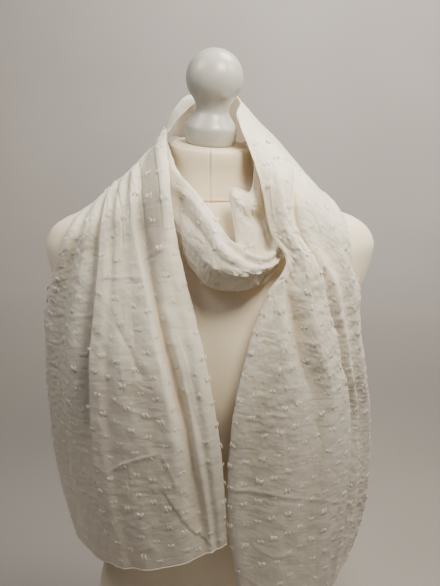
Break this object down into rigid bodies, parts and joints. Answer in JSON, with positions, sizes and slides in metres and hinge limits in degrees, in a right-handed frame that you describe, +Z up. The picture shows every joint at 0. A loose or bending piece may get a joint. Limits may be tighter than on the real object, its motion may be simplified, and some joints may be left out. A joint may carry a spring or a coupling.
{
  "type": "chiffon scarf on dress form",
  "caption": "Light dotted chiffon scarf wound once round the neck of a limbless dress form, with both tails hanging in front.",
  "frame": {"origin": "centre of the dress form's flat base, on the surface it stands on", "axes": "+Z up, the form's front faces -Y, +X to the right of someone who looks at its front"},
  "size_m": [0.4189, 0.2663, 0.8137],
  "materials": {
    "ivory_chiffon": "sheer crinkled chiffon with small woven tufts",
    "form_jersey": "matte stretch jersey over foam",
    "cap_white_plastic": "satin white plastic"
  },
  "bodies": {
    "root": {"form_torso": "form_jersey", "form_neck_cap": "cap_white_plastic", "tail_left": "ivory_chiffon", "nape_lower": "ivory_chiffon", "loop_front": "ivory_chiffon", "nape_upper": "ivory_chiffon", "tail_right": "ivory_chiffon"}
  },
  "joints": []
}
